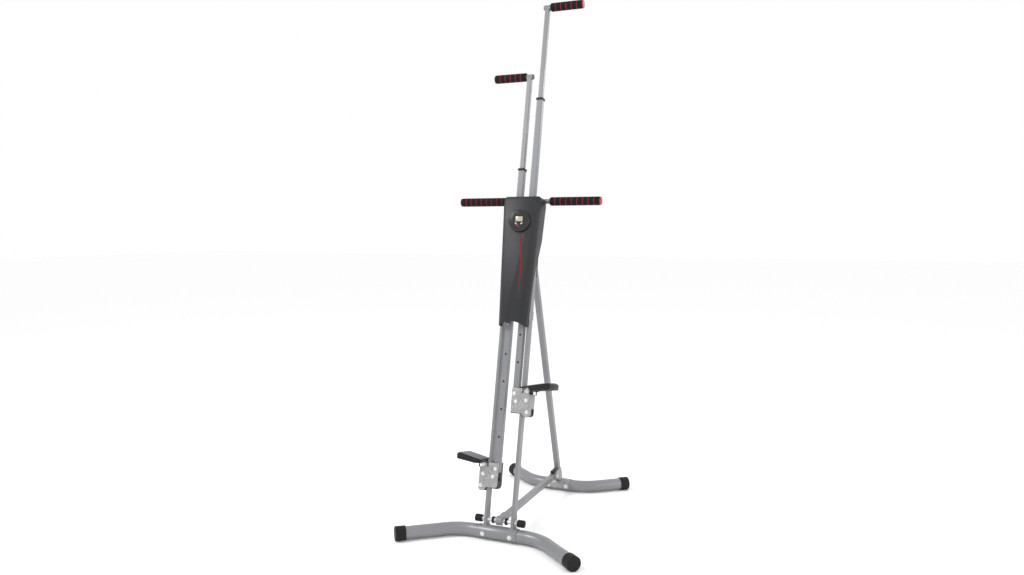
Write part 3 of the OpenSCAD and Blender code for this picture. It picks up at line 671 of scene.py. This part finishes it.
class Mast(bpy.types.Operator):
    """Rails, handlebar tube, brackets, bushes, leg and brace"""
    bl_idname = "climber.mast"
    bl_label = "Mast"

    def execute(self, context):
        for node in ("left_rail", "right_rail", "cross_handlebar", "rear_leg", "brace"):
            paint(node, MATERIALS["powder_coat"])
        rounded("top_bracket", sizes().plate_edge, MATERIALS["powder_coat"])
        rounded("lower_guide", sizes().plate_edge, MATERIALS["zinc_plate"])
        rounded("guide_bushes", sizes().plate_edge, MATERIALS["black_nylon"])
        for node in ("axle_bumpers", "axle_rings"):
            rounded(node, SOFT_EDGE, MATERIALS["cap_rubber"])
        rounded("lock_knob", SOFT_EDGE, MATERIALS["black_nylon"])
        return {"FINISHED"}


class Fasteners(bpy.types.Operator):
    """Bolts, screws, pins and the axle"""
    bl_idname = "climber.fasteners"
    bl_label = "Fasteners"

    def execute(self, context):
        for node in ("front_foot_bolts", "rear_foot_bolts", "console_screws", "leg_pivot_bolt",
                     "pulley_pin", "left_carriage_bolts", "right_carriage_bolts", "brace_bolt",
                     "bottom_axle"):
            rounded(node, FINE_EDGE, MATERIALS["bright_zinc"])
        return {"FINISHED"}


# ---- Carriages, pedals and posts ----

class Carriages(bpy.types.Operator):
    """Climbing tubes, carriage plates, rollers, pads, collars and handle posts"""
    bl_idname = "climber.carriages"
    bl_label = "Carriages"

    def execute(self, context):
        for side in ("left_", "right_"):
            paint(side + "climbing_tube", MATERIALS["powder_coat"])
            paint(side + "handle_post", MATERIALS["light_powder_coat"])
            rounded(side + "carriage", sizes().plate_edge, MATERIALS["zinc_plate"])
            for node in ("glide_pads", "collar", "outer_roller", "inner_roller"):
                rounded(side + node, SMALL_EDGE, MATERIALS["black_nylon"])
        return {"FINISHED"}


class Pedals(bpy.types.Operator):
    """Pedals with a studded tread"""
    bl_idname = "climber.pedals"
    bl_label = "Pedals"

    def execute(self, context):
        # the tread's middle and slope, from the pedal's hinge
        tread_start = Vector((0.003, 0, 0.0185))
        tread_end = Vector((0.093, 0, 0.0366))
        tread_shift = Vector((0, -0.0055, -0.0002))
        slope = (tread_end - tread_start).normalized()
        back = Vector((0, 1, 0))
        tread = Matrix((slope, back, slope.cross(back))).transposed().to_4x4()
        tread.translation = (tread_start + tread_end) / 2 + tread_shift
        for side, sign in (("left", -1), ("right", 1)):
            rounded(side + "_pedal", sizes().moulded_edge, MATERIALS["black_nylon"], 3)
            hinge = mast_matrix(JOINTS[side + "_pedal_fold"]["pos_m"])
            place = hinge @ Matrix.Diagonal((sign, 1, 1, 1)) @ tread
            values = {
                "Length": (tread_end - tread_start).length - 2 * TREAD_MARGIN,
                "Width": TREAD_WIDTH,
                "Columns": 9, "Rows": 9, "Stud Size": sizes().stud,
                "Stud Height": sizes().stud_height, "Material": MATERIALS["tread_nylon_painted_highlight"],
            }
            # The studs carry a painted highlight: their nylon is painted lighter than the pedal's.
            studs = grown(side + "_pedal_studs", bpy.data.node_groups["Studs"], values, place)
            finish_piece(studs, side + "_pedal", MATERIALS["tread_nylon_painted_highlight"], "black_nylon")
        return {"FINISHED"}


# ---- Console and timer ----

class Console(bpy.types.Operator):
    """Console shells and the red streak on the front"""
    bl_idname = "climber.console"
    bl_label = "Console"

    def execute(self, context):
        rounded("console_cover", sizes().console_edge, MATERIALS["console_plastic"], 3)
        rounded("console_back", SMALL_EDGE, MATERIALS["console_plastic"])
        face = mast_matrix(self.front_middle())
        steps = [step / 24 for step in range(25)]
        path = [(0.004 + 0.022 * t + 0.006 * math.sin(4.2 * t), STREAK_TOP - STREAK_LENGTH * t)
                for t in steps]
        wide = [STREAK_HALF_WIDTH * math.sin(math.pi * (0.06 + 0.9 * t)) for t in steps]
        right = [(x + half, z) for (x, z), half in zip(path, wide)]
        left = [(x - half, z) for (x, z), half in zip(path, wide)]
        streak = new_object("console_streak", prism(right + left[::-1], -PRINT_LIFT, 0.0002))
        streak.data.transform(face)
        smooth(streak.data)
        finish_piece(streak, "frame", MATERIALS["ring_red"], "red_plug")
        return {"FINISHED"}

    @staticmethod
    def front_middle():
        """The middle of the timer pod's rear, on the console's front face."""
        return mast_middle("timer_pod") + BACK * POD_HALF_DEPTH


class Timer(bpy.types.Operator):
    """Timer pod with its bezel, display and leaf marks"""
    bl_idname = "climber.timer"
    bl_label = "Timer"

    def execute(self, context):
        rounded("timer_pod", SOFT_EDGE, MATERIALS["pod_plastic"], 3)
        rounded("timer_display", 0.0005, MATERIALS["lens"])
        rounded("timer_button", 0.0006, MATERIALS["plug_red"])
        pod = mast_matrix(mast_middle("timer_pod"))
        ring = lathe_x(self.bezel(), 64)
        ring.transform(Matrix.Rotation(math.radians(-90), 4, "Z"))
        ring.transform(pod)
        bezel = new_object("timer_bezel", ring)
        smooth(ring, 40)
        finish_piece(bezel, "frame", MATERIALS["console_plastic"], "console_plastic")
        marks = joined("timer_marks", [self.leaf(sign) for sign in (-1, 1)])
        marks.data.transform(pod)
        finish_piece(marks, "frame", MATERIALS["mark_white"], "lcd")
        return {"FINISHED"}

    @staticmethod
    def bezel():
        """Section of the raised rim round the pod's face, as (depth, radius)."""
        count = 12
        return [(0.0040 + 0.0012 * math.cos(2 * math.pi * step / count),
                 BEZEL_RADIUS + 0.0016 * math.sin(2 * math.pi * step / count)) for step in range(count)]

    @staticmethod
    def leaf(sign):
        """A slim leaf below the display, which leans outwards."""
        steps = [step / 12 for step in range(13)]
        spine = [(sign * (0.007 + 0.010 * t), -0.0155 + 0.007 * t) for t in steps]
        half = [0.0018 * math.sin(math.pi * t) + 0.0001 for t in steps]
        upper = [(x - sign * h * 0.6, z + h) for (x, z), h in zip(spine, half)]
        lower = [(x + sign * h * 0.6, z - h) for (x, z), h in zip(spine, half)]
        return prism(upper + lower[::-1], -POD_HALF_DEPTH - PRINT_LIFT, -POD_HALF_DEPTH + 0.0001)


# ---- Rope ----

class Rope(bpy.types.Operator):
    """Rope strands, the turn over the pulley, and the pulley"""
    bl_idname = "climber.rope"
    bl_label = "Rope"

    def execute(self, context):
        rounded("pulley", FINE_EDGE, MATERIALS["black_nylon"])
        paint("rope_bend", MATERIALS["rope_braid"])
        pin = Vector(JOINTS["pulley_spin"]["pos_m"])
        for side, sign in (("left", -1), ("right", 1)):
            low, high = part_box(side + "_rope")
            length = (high[2] - low[2]) / ALONG.z
            top = pin + ACROSS * sign * GROOVE_RADIUS
            strand = self.strand(length, ROPE_RADIUS, 90)
            strand.transform(mast_matrix(top - ALONG * length))
            rope = new_object(side + "_rope_strand", strand)
            smooth(strand, 60)
            rope.data.materials.append(MATERIALS["rope_braid"])
            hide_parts(side + "_rope")
            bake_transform(rope)
        return {"FINISHED"}

    @staticmethod
    def strand(length, radius, rings, sides=12):
        """A closed round rod along z, with many rings so that it can stretch."""
        work = bmesh.new()
        rows = []
        for ring in range(rings + 1):
            height = length * ring / rings
            rows.append([work.verts.new((radius * math.cos(2 * math.pi * k / sides),
                                         radius * math.sin(2 * math.pi * k / sides), height))
                         for k in range(sides)])
        for first, second in zip(rows, rows[1:]):
            for k in range(sides):
                after = (k + 1) % sides
                work.faces.new((first[k], first[after], second[after], second[k]))
        work.faces.new(rows[0][::-1])
        work.faces.new(rows[-1])
        mesh = bpy.data.meshes.new("strand")
        work.to_mesh(mesh)
        work.free()
        return mesh


# ---- Stage ----

def area_light(name, place, aim, size, energy):
    lamp = bpy.data.lights.new(name, "AREA")
    lamp.size = size
    lamp.energy = energy
    light = bpy.data.objects.new(name, lamp)
    light.location = place
    light.rotation_euler = (Vector(aim) - Vector(place)).to_track_quat("-Z", "Y").to_euler()
    bpy.context.scene.collection.objects.link(light)


class Stage(bpy.types.Operator):
    """Floor, soft lights and camera"""
    bl_idname = "climber.stage"
    bl_label = "Stage"

    def execute(self, context):
        scene = bpy.context.scene
        scene.view_settings.view_transform = "Standard"
        mesh = bpy.data.meshes.new("floor")
        work = bmesh.new()
        bmesh.ops.create_grid(work, x_segments=1, y_segments=1, size=30)
        work.to_mesh(mesh)
        work.free()
        floor = new_object("floor", mesh)
        floor.data.materials.append(material("floor_white", "grain", {
            "Colour": (0.985, 0.985, 0.985, 1), "Drift Colour": (0.98, 0.98, 0.98, 1),
            "Roughness Low": 0.8, "Roughness High": 0.9,
        }, bump=0.0))
        world = bpy.data.worlds.new("Studio")
        world.use_nodes = True
        world.node_tree.nodes["Background"].inputs["Color"].default_value = (1, 1, 1, 1)
        world.node_tree.nodes["Background"].inputs["Strength"].default_value = 1.0
        scene.world = world
        area_light("key", (-2.4, -2.0, 3.2), (0, 0, 0.8), 1.2, 75)
        area_light("fill", (3.2, -0.6, 1.6), (0, 0, 1.0), 2.0, 22)
        area_light("rim", (1.2, 2.6, 2.6), (0, 0, 1.1), 1.5, 15)
        camera = bpy.data.objects.new("camera", bpy.data.cameras.new("camera"))
        camera.data.lens = 28.97
        camera.data.sensor_width = 36
        camera.location = (1.2632, -3.1109, 1.1854)
        camera.rotation_euler = (math.radians(90 - 4.1), 0, math.radians(23.4))
        scene.collection.objects.link(camera)
        scene.camera = camera
        return {"FINISHED"}


OPERATORS = (Stage, Feet, Mast, Fasteners, Carriages, Pedals, HandlebarGrips, HandleGrips,
             Console, Timer, Rope)


class ClimberPanel(bpy.types.Panel):
    """Lists the machine's parts, sizes and colours"""
    bl_idname = "VIEW3D_PT_climber"
    bl_label = "Climbing machine"
    bl_space_type = "VIEW_3D"
    bl_region_type = "UI"
    bl_category = "Climber"

    def draw(self, context):
        for settings in (context.scene.climber_sizes, context.scene.climber_colours):
            box = self.layout.box()
            for name in settings.__annotations__:
                box.prop(settings, name)
        for operator in OPERATORS:
            self.layout.operator(operator.bl_idname)


CLASSES = (ClimberColours, ClimberSizes, *OPERATORS, ClimberPanel)


def register():
    for entry in CLASSES:
        bpy.utils.register_class(entry)
    bpy.types.Scene.climber_sizes = bpy.props.PointerProperty(type=ClimberSizes)
    bpy.types.Scene.climber_colours = bpy.props.PointerProperty(type=ClimberColours)


def unregister():
    del bpy.types.Scene.climber_colours
    del bpy.types.Scene.climber_sizes
    for entry in reversed(CLASSES):
        bpy.utils.unregister_class(entry)


def main():
    register()
    make_materials(bpy.context.scene.climber_colours)
    stud_tree()
    ring_tree()
    for operator in OPERATORS:
        group, name = operator.bl_idname.split(".")
        getattr(getattr(bpy.ops, group), name)()


if __name__ == "__main__":
    main()
